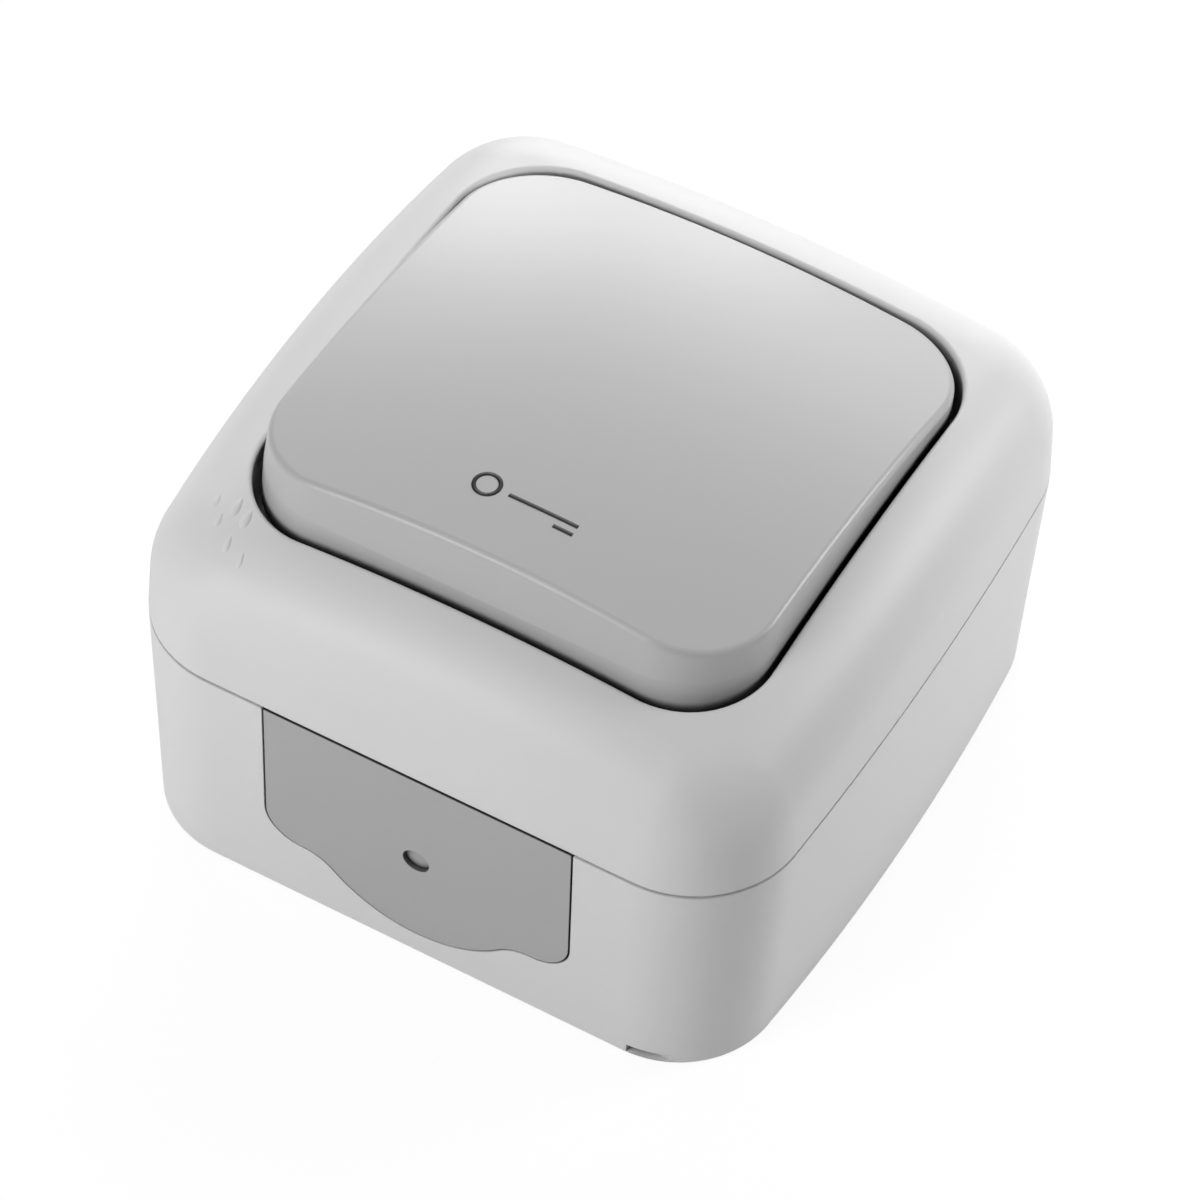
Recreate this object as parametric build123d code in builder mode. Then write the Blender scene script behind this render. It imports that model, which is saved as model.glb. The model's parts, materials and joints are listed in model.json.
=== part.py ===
from build123d import *
import math
import os

os.makedirs("parts", exist_ok=True)

# All sizes are in millimetres. The switch lies on its back: the wall plane is z = 0,
# the origin is the middle of the back, +Z points out of the wall and -Y is the side
# with the cable entry, which hangs downwards on a wall.

# Plan outline of box and frame at the joint between them
WIDTH = 66.0
DEPTH = 67.0
SIDE_BOW = 1.55
CORNER_RADIUS = 10.6

# The box narrows towards the wall and its sides bow a little more there
BACK_INSET = 0.58
BACK_BOW = 2.05

# Heights of the joint, of the shadow line under the frame and of the frame's crown
JOINT_Z = 26.0
SHADOW_LINE = 0.4
FRAME_CROWN_Z = 42.4
FRAME_CROWN_RADIUS = 185.0
FRAME_EDGE_RADIUS = 9.0
FRAME_DRAFT = 3.0
FRAME_SLOPE_Z = 32.5
FRAME_SLOPE_RISE = 5.0
CROWN_ROOM = 4.0
BACK_EDGE_RADIUS = 0.3

# Wall thicknesses
BOX_WALL = 3.2
BOX_FLOOR = 2.5
FRAME_WALL = 2.2

# Opening of the frame and the well that hangs under it around the rocker
FRAME_BAND_X = 7.55
FRAME_BAND_Y = 8.1
OPENING_X = WIDTH - 2 * FRAME_BAND_X
OPENING_Y = DEPTH - 2 * FRAME_BAND_Y
OPENING_RADIUS = 8.7
OPENING_EDGE = 0.4
WELL_WALL = 1.8
WELL_FLOOR_Z = 31.5
WELL_FLOOR = 1.8
WELL_UNDER_Z = WELL_FLOOR_Z - WELL_FLOOR

# Rocker: it turns about X through the pivot and rests tilted, lower edge out
PIVOT_Z = 38.5
REST_TILT = 6.1
ROCKER_GAP_X = 0.55
ROCKER_GAP_Y = 0.85
ROCKER_APEX = 7.1
ROCKER_CROWN_RADIUS = 150.0
ROCKER_TAPER_X = 0.034
ROCKER_TAPER_LOW = 0.151
ROCKER_TAPER_HIGH = 0.032
ROCKER_BELT = 0.5
ROCKER_BLANK_TOP = 8.1
ROCKER_SKIRT = -3.4
ROCKER_EDGE_RADIUS = 0.7
ROCKER_WALL = 1.8
ROCKER_ROOF = 2.2
ROCKER_X = OPENING_X - 2 * ROCKER_GAP_X
ROCKER_Y = OPENING_Y - 2 * ROCKER_GAP_Y
ROCKER_RADIUS = OPENING_RADIUS
ROCKER_TOP_RADIUS = 8.0

# Toggle that carries the rocker
TOGGLE_X = 20.4
TOGGLE_PLATE_X = 19.6
TOGGLE_PLATE_Y = 16.0
TOGGLE_PLATE_LOW = 1.4
TOGGLE_PLATE_TOP = 3.8
TOGGLE_HUB_RADIUS = 3.2
NOSE_ARM = 9.0
NOSE_DROP = 5.5
NOSE_RADIUS = 1.6
NOSE_WIDTH = 6.0

# Clip legs and pad under the rocker that hold it on the toggle
CLIP_FIT = 0.1
CLIP_X = 6.0
CLIP_WIDTH = 4.0
CLIP_THICK = 1.4
CLIP_HOOK = 0.6
CLIP_HOOK_HEIGHT = 0.7
PAD_X = 12.0
PAD_Y = 10.0

# Pivot pin and the ears that carry it
PIN_RADIUS = 1.5
PIN_FIT = 0.02
PIN_RUNNING_FIT = 0.06
EAR_GAP = 0.2
EAR_THICK = 2.0
EAR_HALF_Y = 4.0
EAR_TOP_RADIUS = 3.0

# Groove, seal and locating tongue along the joint
SEAL_INSET = 1.0
SEAL_WIDTH = 1.2
SEAL_FIT = 0.05
SEAL_Z = 24.0
TONGUE_GAP = 0.15
TONGUE_TOP = 28.0

# Cable entry plate in the lower wall
PLATE_HALF = 15.6
PLATE_SHOULDER_Z = 7.8
PLATE_CORNER = 3.6
PLATE_HUMP_RADIUS = 12.0
PLATE_HUMP_Z = 2.9
PLATE_HUMP_BLEND = 5.0
PLATE_GAP = 0.2
FLANGE_HALF = 17.4
FLANGE_THICK = 1.4
FLANGE_GAP = 0.1
RAIL_WALL = 1.5
RAIL_HOOK = 1.0
RAIL_TOP = 24.0
DIMPLE_RADIUS = 1.35
DIMPLE_DEPTH = 0.55
DIMPLE_Z = 13.85

# Drain pocket above the back edge: it starts on the lower right corner and runs out there
POCKET_START = 1.5
POCKET_LENGTH = 4.0
POCKET_SILL = 0.3
POCKET_HEIGHT = 1.0
POCKET_DEPTH = 1.2
CUT_ROOM = 1.0

# Wall fixing holes, their collars and the knock-out in the floor
FIXING_SPACING = 45.0
FIXING_RADIUS = 3.0
FIXING_COLLAR_RADIUS = 5.4
FIXING_COLLAR_TOP = 4.0
KNOCKOUT_RADIUS = 8.0
KNOCKOUT_Y = 19.0
KNOCKOUT_GROOVE = 0.8
KNOCKOUT_DEPTH = 1.7

# Screws: the same pan head form for all three sizes
SCREW_RADIUS = 1.5
SCREW_FIT = 0.02
SCREW_HEAD_HEIGHT = 2.0
SCREW_HEAD_RADIUS = 2.7
SCREW_HEAD_ROUND = 0.8
SCREW_SLOT = 0.7
SCREW_SLOT_DEPTH = 0.9
SCREW_PASSAGE = 1.75

# Cover screws stand on one diagonal, their heads sunk in cups of the well's floor
COVER_SCREW_IN_X = 5.9
COVER_SCREW_IN_Y = 6.9
COVER_SCREW_X = OPENING_X / 2 - COVER_SCREW_IN_X
COVER_SCREW_Y = OPENING_Y / 2 - COVER_SCREW_IN_Y
COVER_RECESS = 1.9
COVER_SEAT_Z = WELL_FLOOR_Z - COVER_RECESS
CUP_GAP = 0.3
CUP_WALL = 1.2
CUP_FLOOR = 1.4
CUP_UNDER_Z = COVER_SEAT_Z - CUP_FLOOR
COVER_BOSS_RADIUS = 2.8
COVER_PILOT_Z = 17.0
COVER_SCREW_END = 18.0
DRAIN_RADIUS = 1.3
DRAIN_IN_Y = 3.4
DRAIN_Y = -(OPENING_Y / 2 - DRAIN_IN_Y)

# Mechanism block and its lid
BLOCK_X = 26.8
BLOCK_LOW_Y = -18.0
BLOCK_HIGH_Y = 10.0
BLOCK_BOTTOM = 8.0
LID_GAP = 1.7
LID_THICK = 2.0
LID_TOP = WELL_UNDER_Z - LID_GAP
LID_Z = LID_TOP - LID_THICK
CHAMBER_WALL = 1.6
CHAMBER_HIGH_Y = -2.5
SHELF_Z = 14.8
SPRING_WELL_Z = 10.0
SPRING_WELL_HALF = 3.7
CORE_X = 11.0
CORE_TOP = 24.0
FOOT_RADIUS = 3.2
MECH_SCREW_X = 9.0
MECH_SCREW_Y = 7.0
MECH_SCREW_END = 3.5
FOOT_X = 10.0
FOOT_Y = -14.0

# Window of the well through which ears, toggle and plunger pass
WINDOW_X = 27.0
WINDOW_LOW_Y = -12.6
WINDOW_HIGH_Y = 11.0
WINDOW_RADIUS = 2.0

# Plunger and contact set, all on one vertical axis below the toggle's nose
PLUNGER_Y = -NOSE_ARM
NOSE_GAP = 0.25
PLUNGER_RADIUS = 2.6
PLUNGER_GUIDE_FIT = 0.15
PLUNGER_STEM = 2.0
PLUNGER_FLANGE = 3.6
PLUNGER_FLANGE_TOP = 25.7
PLUNGER_FLANGE_HEIGHT = 0.8
PLUNGER_PIN = 1.5
PLUNGER_PIN_END = 12.6
CONTACT_GAP = 2.0
TIP_X = 5.3
TIP_RADIUS = 1.3
TIP_HEIGHT = 0.8
BRIDGE_LENGTH = 14.4
BRIDGE_WIDTH = 4.0
BRIDGE_THICK = 0.8
BRIDGE_EYE = 1.0
STEM_FIT = 0.02
RETAINER_RADIUS = 3.4
RETAINER_THICK = 1.0

# Return spring and contact spring
RETURN_COIL = 2.6
RETURN_WIRE = 0.3
RETURN_TURNS = 4
CONTACT_COIL = 2.55
CONTACT_WIRE = 0.25
CONTACT_TURNS = 3

# Terminals
STRIP_THICK = 1.0
STRIP_IN_X = 3.9
STRIP_STEP_X = 6.4
STRIP_OUT_X = 11.6
STRIP_END_Y = -16.2
TERMINAL_X = 9.0
TERMINAL_Y = -13.3
CLAMP_X = 5.0
CLAMP_Y = 4.6
CLAMP_THICK = 1.0
CLAMP_Z = 18.6
TERMINAL_SCREW_END = 12.6
TERMINAL_SCREW_ROOM = 2.2
TERMINAL_SCREW_TIP_GAP = 1.0
LID_ACCESS_RADIUS = 3.1
WIRE_ENTRY_X = 4.4
WIRE_ENTRY_TOP = 19.5

# Heights that follow from the values above
TILT = math.radians(REST_TILT)
RIM_Z = JOINT_Z - SHADOW_LINE
STRIP_TOP = SHELF_Z + STRIP_THICK
FIXED_TIP_TOP = STRIP_TOP + TIP_HEIGHT
BRIDGE_Z = FIXED_TIP_TOP + CONTACT_GAP + TIP_HEIGHT
BRIDGE_TOP = BRIDGE_Z + BRIDGE_THICK
RETAINER_Z = BRIDGE_Z - RETAINER_THICK
FLANGE_UNDER = PLUNGER_FLANGE_TOP - PLUNGER_FLANGE_HEIGHT
NOSE_REST_Z = PIVOT_Z + NOSE_ARM * math.sin(TILT) - NOSE_DROP * math.cos(TILT)
PLUNGER_TOP = NOSE_REST_Z - NOSE_RADIUS - NOSE_GAP
FRAME_SPHERE_Z = FRAME_CROWN_Z - FRAME_CROWN_RADIUS
INNER_FRONT_Y = -(DEPTH / 2 - BOX_WALL)
FACE_ANGLE = math.atan(BACK_INSET / RIM_Z)
DIMPLE_FACE_Y = -(DEPTH / 2 - BACK_INSET * (1 - DIMPLE_Z / RIM_Z))

# Plane of the resting rocker: its origin is the pivot and its normal leans to +Y
ROCKER_PLANE = Plane(
    origin=(0, 0, PIVOT_Z), x_dir=(1, 0, 0), z_dir=(0, math.sin(TILT), math.cos(TILT))
)


def outline(z, inset, bow=SIDE_BOW):
    """Plan outline at height z: straight upper and lower sides, bowed left and right ones."""
    half_x = WIDTH / 2 - inset - bow
    half_y = DEPTH / 2 - inset
    with BuildSketch(Plane.XY.offset(z)) as plan:
        with BuildLine():
            Line((-half_x, -half_y), (half_x, -half_y))
            ThreePointArc((half_x, -half_y), (half_x + bow, 0), (half_x, half_y))
            Line((half_x, half_y), (-half_x, half_y))
            ThreePointArc((-half_x, half_y), (-half_x - bow, 0), (-half_x, -half_y))
        make_face()
        fillet(plan.vertices(), CORNER_RADIUS - inset)
    return plan.sketch


def plate_outline(grow):
    """Front view of the cable plate: shoulders with a round hump hanging between them."""
    half = PLATE_HALF + grow
    shoulder = PLATE_SHOULDER_Z - grow
    top = TONGUE_TOP + CUT_ROOM
    hump = PLATE_HUMP_RADIUS + grow
    centre = PLATE_HUMP_Z + PLATE_HUMP_RADIUS
    with BuildSketch(Plane.XZ.offset(-INNER_FRONT_Y - FLANGE_THICK)) as front:
        with Locations((0, (top + shoulder) / 2)):
            Rectangle(2 * half, top - shoulder)
        with Locations((0, centre)):
            Circle(hump)
        low = [v for v in front.vertices() if abs(v.Y - shoulder) < 0.01]
        fillet([v for v in low if abs(v.X) > half - 0.01], PLATE_CORNER + grow)
        low = [v for v in front.vertices() if abs(v.Y - shoulder) < 0.01]
        fillet([v for v in low if abs(v.X) < hump], PLATE_HUMP_BLEND - grow)
    return front.sketch


def off_opening(edge):
    """Plan distance of an edge's middle from the outline of the frame's opening."""
    middle = edge @ 0.5
    across = max(abs(middle.X) - OPENING_X / 2 + OPENING_RADIUS, 0)
    along = max(abs(middle.Y) - OPENING_Y / 2 + OPENING_RADIUS, 0)
    return abs(math.hypot(across, along) - OPENING_RADIUS)


def pan_screw(x, y, seat, end):
    """Slotted pan head screw standing on the seat and reaching down to the end."""
    with BuildPart() as screw:
        with BuildSketch(Plane.XY.offset(end)):
            with Locations((x, y)):
                Circle(SCREW_RADIUS)
        extrude(amount=seat - end)
        with BuildSketch(Plane.XY.offset(seat)):
            with Locations((x, y)):
                Circle(SCREW_HEAD_RADIUS)
        extrude(amount=SCREW_HEAD_HEIGHT)
        top = screw.faces().sort_by(Axis.Z)[-1]
        fillet(top.edges(), SCREW_HEAD_ROUND)
        with BuildSketch(Plane.XY.offset(seat + SCREW_HEAD_HEIGHT - SCREW_SLOT_DEPTH)):
            with Locations((x, y)):
                Rectangle(3 * SCREW_HEAD_RADIUS, SCREW_SLOT)
        extrude(amount=SCREW_HEAD_HEIGHT, mode=Mode.SUBTRACT)
    return screw.part


def coil(radius, wire, turns, low, high):
    """Helical spring on the plunger's axis between two seats."""
    height = high - low - 2 * wire
    with BuildPart() as spring:
        with BuildLine() as path:
            Helix(height / turns, height, radius, center=(0, PLUNGER_Y, low + wire))
        with BuildSketch(Plane(origin=path.line @ 0, z_dir=path.line % 0)):
            Circle(wire)
        sweep(path=path.line, is_frenet=True)
    return spring.part


# Blank of the back box: drafted walls with the floor, the seal groove and the tongue
with BuildPart() as box_blank:
    loft(sections=[outline(0, BACK_INSET, BACK_BOW), outline(RIM_Z, 0)], ruled=True)
    fillet(box_blank.faces().sort_by(Axis.Z)[0].edges(), BACK_EDGE_RADIUS)
    extrude(outline(RIM_Z, FRAME_WALL + TONGUE_GAP), amount=TONGUE_TOP - RIM_Z)
    extrude(outline(BOX_FLOOR, BOX_WALL), amount=TONGUE_TOP, mode=Mode.SUBTRACT)

with BuildPart() as seal_groove:
    extrude(outline(SEAL_Z, SEAL_INSET), amount=JOINT_Z - SEAL_Z)
    extrude(outline(SEAL_Z, SEAL_INSET + SEAL_WIDTH), amount=JOINT_Z, mode=Mode.SUBTRACT)

# Back box with slot and rails for the cable plate, bosses, feet, fixing holes and drain
with BuildPart() as back_box:
    add(box_blank.part)
    add(seal_groove.part, mode=Mode.SUBTRACT)
    with BuildSketch(Plane.XY.offset(BOX_FLOOR)):
        for side in (-1, 1):
            rail = side * (FLANGE_HALF + FLANGE_GAP + RAIL_WALL / 2)
            depth = FLANGE_THICK + FLANGE_GAP + RAIL_WALL
            with Locations((rail, INNER_FRONT_Y + depth / 2)):
                Rectangle(RAIL_WALL, depth)
            hook = RAIL_WALL + FLANGE_GAP + RAIL_HOOK
            inner = side * (FLANGE_HALF + FLANGE_GAP + RAIL_WALL - hook / 2)
            with Locations((inner, INNER_FRONT_Y + depth - RAIL_WALL / 2)):
                Rectangle(hook, RAIL_WALL)
    extrude(amount=RAIL_TOP - BOX_FLOOR)
    with BuildSketch(Plane.XY.offset(BOX_FLOOR)):
        with Locations((-MECH_SCREW_X, MECH_SCREW_Y), (MECH_SCREW_X, MECH_SCREW_Y)):
            Circle(FOOT_RADIUS)
        with Locations((-FOOT_X, FOOT_Y), (FOOT_X, FOOT_Y)):
            Circle(FOOT_RADIUS)
    extrude(amount=BLOCK_BOTTOM - BOX_FLOOR)
    with BuildSketch(Plane.XY.offset(BOX_FLOOR)):
        with Locations((-COVER_SCREW_X, -COVER_SCREW_Y), (COVER_SCREW_X, COVER_SCREW_Y)):
            Circle(COVER_BOSS_RADIUS)
    extrude(amount=CUP_UNDER_Z - BOX_FLOOR)
    with BuildSketch(Plane.XY.offset(BOX_FLOOR)):
        with Locations((-FIXING_SPACING / 2, 0), (FIXING_SPACING / 2, 0)):
            Circle(FIXING_COLLAR_RADIUS)
    extrude(amount=FIXING_COLLAR_TOP - BOX_FLOOR)
    with BuildSketch(Plane.XY):
        with Locations((-FIXING_SPACING / 2, 0), (FIXING_SPACING / 2, 0)):
            Circle(FIXING_RADIUS)
    extrude(amount=FIXING_COLLAR_TOP, mode=Mode.SUBTRACT)
    with BuildSketch(Plane.XY.offset(MECH_SCREW_END)):
        with Locations((-MECH_SCREW_X, MECH_SCREW_Y), (MECH_SCREW_X, MECH_SCREW_Y)):
            Circle(SCREW_RADIUS + SCREW_FIT)
    extrude(amount=BLOCK_BOTTOM, mode=Mode.SUBTRACT)
    with BuildSketch(Plane.XY.offset(COVER_PILOT_Z)):
        with Locations((-COVER_SCREW_X, -COVER_SCREW_Y), (COVER_SCREW_X, COVER_SCREW_Y)):
            Circle(SCREW_RADIUS + SCREW_FIT)
    extrude(amount=CUP_UNDER_Z - COVER_PILOT_Z, mode=Mode.SUBTRACT)
    with BuildSketch(Plane.XY):
        with Locations((0, KNOCKOUT_Y)):
            Circle(KNOCKOUT_RADIUS + KNOCKOUT_GROOVE)
            Circle(KNOCKOUT_RADIUS, mode=Mode.SUBTRACT)
    extrude(amount=KNOCKOUT_DEPTH, mode=Mode.SUBTRACT)
    extrude(plate_outline(PLATE_GAP), amount=BOX_WALL + FLANGE_THICK + CUT_ROOM, mode=Mode.SUBTRACT)
    corner_x = WIDTH / 2 - BACK_BOW - CORNER_RADIUS
    drain_x = corner_x + POCKET_START + POCKET_LENGTH / 2
    drain_y = -(DEPTH / 2 - BACK_INSET - POCKET_DEPTH / 2 + CUT_ROOM / 2)
    with BuildSketch(Plane.XY.offset(POCKET_SILL)):
        with Locations((drain_x, drain_y)):
            Rectangle(POCKET_LENGTH, POCKET_DEPTH + CUT_ROOM)
    extrude(amount=POCKET_HEIGHT, mode=Mode.SUBTRACT)
back_box.part.label = "back_box"
export_step(back_box.part, "parts/back_box.step")

# Cable entry plate: a piece of the wall with a flange behind it and a centre dimple
with BuildPart() as cable_plate:
    add(box_blank.part)
    extrude(plate_outline(0), amount=BOX_WALL + FLANGE_THICK + CUT_ROOM, mode=Mode.INTERSECT)
    add(seal_groove.part, mode=Mode.SUBTRACT)
    with BuildSketch(Plane.XZ.offset(-INNER_FRONT_Y)):
        low = BOX_FLOOR + FLANGE_GAP
        with Locations((0, (low + RIM_Z) / 2)):
            Rectangle(2 * FLANGE_HALF, RIM_Z - low)
    extrude(amount=-FLANGE_THICK)
    lean = Plane(
        origin=(0, DIMPLE_FACE_Y, DIMPLE_Z),
        x_dir=(1, 0, 0),
        z_dir=(0, -math.cos(FACE_ANGLE), -math.sin(FACE_ANGLE)),
    )
    with BuildSketch(lean):
        Circle(DIMPLE_RADIUS)
    extrude(amount=-DIMPLE_DEPTH, mode=Mode.SUBTRACT)
cable_plate.part.label = "cable_entry_plate"
export_step(cable_plate.part, "parts/cable_entry_plate.step")

# Seal lying in the groove
with BuildPart() as frame_seal:
    extrude(outline(SEAL_Z, SEAL_INSET + SEAL_FIT), amount=JOINT_Z - SEAL_Z)
    inner = SEAL_INSET + SEAL_WIDTH - SEAL_FIT
    extrude(outline(SEAL_Z, inner), amount=JOINT_Z, mode=Mode.SUBTRACT)
frame_seal.part.label = "frame_seal"
export_step(frame_seal.part, "parts/frame_seal.step")

# Hollow of the frame: straight walls, then a slope that runs below the soft edge
straight = FRAME_SLOPE_Z - JOINT_Z
slope_inset = FRAME_WALL + straight * math.tan(math.radians(FRAME_DRAFT))
with BuildPart() as frame_hollow:
    extrude(outline(JOINT_Z, FRAME_WALL), amount=straight, taper=FRAME_DRAFT)
    extrude(outline(FRAME_SLOPE_Z, slope_inset), amount=FRAME_SLOPE_RISE, taper=45)

# Block under the opening out of which the well is cut, with the two screw cups below it
blank_top = FRAME_CROWN_Z + CROWN_ROOM
with BuildPart() as well_block:
    with BuildSketch(Plane.XY.offset(WELL_UNDER_Z)):
        RectangleRounded(
            OPENING_X + 2 * WELL_WALL, OPENING_Y + 2 * WELL_WALL, OPENING_RADIUS + WELL_WALL
        )
    extrude(amount=blank_top - WELL_UNDER_Z)
    with Locations((0, 0, FRAME_SPHERE_Z)):
        Sphere(FRAME_CROWN_RADIUS - FRAME_WALL / 2, rotation=(0, 90, 0), mode=Mode.INTERSECT)
    with BuildSketch(Plane.XY.offset(CUP_UNDER_Z)):
        with Locations((-COVER_SCREW_X, -COVER_SCREW_Y), (COVER_SCREW_X, COVER_SCREW_Y)):
            Circle(SCREW_HEAD_RADIUS + CUP_GAP + CUP_WALL)
    extrude(amount=WELL_FLOOR_Z - CUP_UNDER_Z)

# Front frame: crowned shell with a broad soft edge and the well for the rocker
with BuildPart() as front_frame:
    extrude(outline(JOINT_Z, 0), amount=blank_top - JOINT_Z, taper=FRAME_DRAFT)
    with Locations((0, 0, FRAME_SPHERE_Z)):
        Sphere(FRAME_CROWN_RADIUS, rotation=(0, 90, 0), mode=Mode.INTERSECT)
    crown = front_frame.faces().sort_by(Axis.Z)[-1]
    fillet(crown.edges(), FRAME_EDGE_RADIUS)
    add(frame_hollow.part, mode=Mode.SUBTRACT)
    add(well_block.part)
    with BuildSketch(Plane.XY.offset(WELL_FLOOR_Z)):
        RectangleRounded(OPENING_X, OPENING_Y, OPENING_RADIUS)
    extrude(amount=blank_top - WELL_FLOOR_Z, mode=Mode.SUBTRACT)
    with BuildSketch(Plane.XY.offset(WELL_UNDER_Z)):
        with Locations((0, (WINDOW_LOW_Y + WINDOW_HIGH_Y) / 2)):
            RectangleRounded(WINDOW_X, WINDOW_HIGH_Y - WINDOW_LOW_Y, WINDOW_RADIUS)
        with Locations((0, DRAIN_Y)):
            Circle(DRAIN_RADIUS)
    extrude(amount=WELL_FLOOR, mode=Mode.SUBTRACT)
    with BuildSketch(Plane.XY.offset(COVER_SEAT_Z)):
        with Locations((-COVER_SCREW_X, -COVER_SCREW_Y), (COVER_SCREW_X, COVER_SCREW_Y)):
            Circle(SCREW_HEAD_RADIUS + CUP_GAP)
    extrude(amount=COVER_RECESS, mode=Mode.SUBTRACT)
    with BuildSketch(Plane.XY.offset(CUP_UNDER_Z)):
        with Locations((-COVER_SCREW_X, -COVER_SCREW_Y), (COVER_SCREW_X, COVER_SCREW_Y)):
            Circle(SCREW_PASSAGE)
    extrude(amount=CUP_FLOOR, mode=Mode.SUBTRACT)
    rim = [e for e in front_frame.edges() if off_opening(e) < 0.01]
    level = [e for e in rim if e.bounding_box().size.Z < WELL_FLOOR]
    fillet([e for e in level if e.center().Z > WELL_FLOOR_Z + WELL_FLOOR], OPENING_EDGE)
front_frame.part.label = "front_frame"
export_step(front_frame.part, "parts/front_frame.step")

# Rocker in its own tilted plane: tapered walls, crowned top, hollow below with clips
blank_height = ROCKER_BLANK_TOP - ROCKER_BELT
with BuildPart() as rocker_hollow:
    with BuildSketch(ROCKER_PLANE.offset(ROCKER_SKIRT)):
        RectangleRounded(
            ROCKER_X - 2 * (ROCKER_WALL + blank_height * ROCKER_TAPER_X),
            ROCKER_Y - 2 * (ROCKER_WALL + blank_height * ROCKER_TAPER_LOW / 2),
            ROCKER_RADIUS - ROCKER_WALL,
        )
    extrude(amount=ROCKER_BLANK_TOP - ROCKER_SKIRT)
    with Locations(ROCKER_PLANE.offset(ROCKER_APEX - ROCKER_CROWN_RADIUS)):
        Sphere(ROCKER_CROWN_RADIUS - ROCKER_ROOF, rotation=(0, 90, 0), mode=Mode.INTERSECT)

with BuildPart() as rocker:
    with BuildSketch(ROCKER_PLANE.offset(ROCKER_BELT)):
        RectangleRounded(ROCKER_X, ROCKER_Y, ROCKER_RADIUS)
    with BuildSketch(ROCKER_PLANE.offset(ROCKER_BLANK_TOP)):
        with Locations((0, blank_height * (ROCKER_TAPER_LOW - ROCKER_TAPER_HIGH) / 2)):
            RectangleRounded(
                ROCKER_X - 2 * blank_height * ROCKER_TAPER_X,
                ROCKER_Y - blank_height * (ROCKER_TAPER_LOW + ROCKER_TAPER_HIGH),
                ROCKER_TOP_RADIUS,
            )
    loft(ruled=True)
    with BuildSketch(ROCKER_PLANE.offset(ROCKER_SKIRT)):
        RectangleRounded(ROCKER_X, ROCKER_Y, ROCKER_RADIUS)
    extrude(amount=ROCKER_BELT - ROCKER_SKIRT)
    with Locations(ROCKER_PLANE.offset(ROCKER_APEX - ROCKER_CROWN_RADIUS)):
        Sphere(ROCKER_CROWN_RADIUS, rotation=(0, 90, 0), mode=Mode.INTERSECT)
    crown = rocker.faces().sort_by(Axis.Z)[-1]
    fillet(crown.edges(), ROCKER_EDGE_RADIUS)
    add(rocker_hollow.part, mode=Mode.SUBTRACT)
    roof = ROCKER_APEX - ROCKER_ROOF / 2
    with BuildSketch(ROCKER_PLANE.offset(TOGGLE_PLATE_TOP)):
        Rectangle(PAD_X, PAD_Y)
    extrude(amount=roof - TOGGLE_PLATE_TOP)
    clip_low = TOGGLE_PLATE_LOW - CLIP_FIT - CLIP_HOOK_HEIGHT
    clip_in = TOGGLE_PLATE_Y / 2 + CLIP_FIT
    with BuildSketch(ROCKER_PLANE.offset(clip_low)):
        for at_x in (-CLIP_X, CLIP_X):
            for side in (-1, 1):
                with Locations((at_x, side * (clip_in + CLIP_THICK / 2))):
                    Rectangle(CLIP_WIDTH, CLIP_THICK)
    extrude(amount=roof - clip_low)
    with BuildSketch(ROCKER_PLANE.offset(clip_low)):
        for at_x in (-CLIP_X, CLIP_X):
            for side in (-1, 1):
                with Locations((at_x, side * (clip_in - CLIP_HOOK / 2))):
                    Rectangle(CLIP_WIDTH, CLIP_HOOK)
    extrude(amount=CLIP_HOOK_HEIGHT)
rocker.part.label = "rocker"
export_step(rocker.part, "parts/rocker.step")

# Toggle: hub on the pin, plate under the rocker and the nose that works the plunger
SIDE_PLANE = Plane(origin=ROCKER_PLANE.origin, x_dir=ROCKER_PLANE.y_dir, z_dir=(1, 0, 0))
with BuildPart() as toggle:
    with BuildSketch(SIDE_PLANE.offset(-TOGGLE_X / 2)):
        Circle(TOGGLE_HUB_RADIUS)
    extrude(amount=TOGGLE_X)
    with BuildSketch(ROCKER_PLANE.offset(TOGGLE_PLATE_LOW)):
        Rectangle(TOGGLE_PLATE_X, TOGGLE_PLATE_Y)
    extrude(amount=TOGGLE_PLATE_TOP - TOGGLE_PLATE_LOW)
    with BuildSketch(SIDE_PLANE.offset(-NOSE_WIDTH / 2)):
        with BuildLine():
            Polyline(
                (0, TOGGLE_PLATE_LOW),
                (-TOGGLE_PLATE_Y / 2, TOGGLE_PLATE_LOW),
                (-NOSE_ARM - NOSE_RADIUS, -NOSE_DROP),
            )
            ThreePointArc(
                (-NOSE_ARM - NOSE_RADIUS, -NOSE_DROP),
                (-NOSE_ARM, -NOSE_DROP - NOSE_RADIUS),
                (-NOSE_ARM + NOSE_RADIUS, -NOSE_DROP),
            )
            Polyline(
                (-NOSE_ARM + NOSE_RADIUS, -NOSE_DROP),
                (0, -TOGGLE_HUB_RADIUS / 2),
                (0, TOGGLE_PLATE_LOW),
            )
        make_face()
    extrude(amount=NOSE_WIDTH)
    with BuildSketch(SIDE_PLANE.offset(-TOGGLE_X / 2)):
        Circle(PIN_RADIUS + PIN_RUNNING_FIT)
    extrude(amount=TOGGLE_X, mode=Mode.SUBTRACT)
toggle.part.label = "toggle"
export_step(toggle.part, "parts/toggle.step")

# Pivot pin through ears and toggle
pin_half = TOGGLE_X / 2 + EAR_GAP + EAR_THICK
with BuildPart() as pivot_pin:
    with BuildSketch(Plane.YZ.offset(-pin_half)):
        with Locations((0, PIVOT_Z)):
            Circle(PIN_RADIUS)
    extrude(amount=2 * pin_half)
pivot_pin.part.label = "pivot_pin"
export_step(pivot_pin.part, "parts/pivot_pin.step")

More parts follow.
